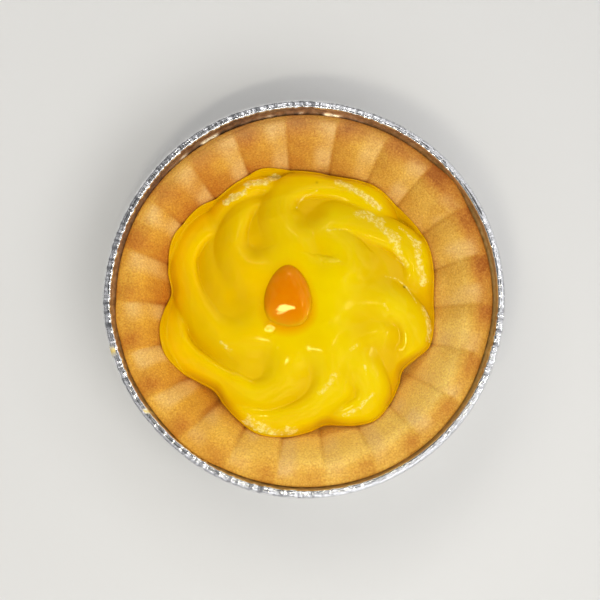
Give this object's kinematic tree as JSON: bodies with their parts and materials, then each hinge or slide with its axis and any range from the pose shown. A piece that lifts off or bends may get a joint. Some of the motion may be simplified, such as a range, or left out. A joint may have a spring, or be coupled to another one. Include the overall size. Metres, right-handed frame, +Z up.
{
  "type": "lemon tart",
  "caption": "Round lemon tart: a fluted shortcrust shell in a thin foil cup with a rolled rim, filled with a piped swirl of glossy lemon curd and topped with an orange gel drop.",
  "frame": {"origin": "centre of the foil cup's underside, on the surface that it stands on", "axes": "+Z up out of the open top of the cup; +Y the way the gel drop's narrow end points"},
  "size_m": [0.0845, 0.0842, 0.0246],
  "materials": {
    "foil": "bright thin foil with a crimped, rolled rim",
    "pastry": null,
    "curd": null,
    "gel": null
  },
  "bodies": {
    "root": {"foil_cup": "foil", "pastry_shell": "pastry", "lemon_curd": "curd", "orange_gel_drop": "gel"}
  },
  "joints": []
}
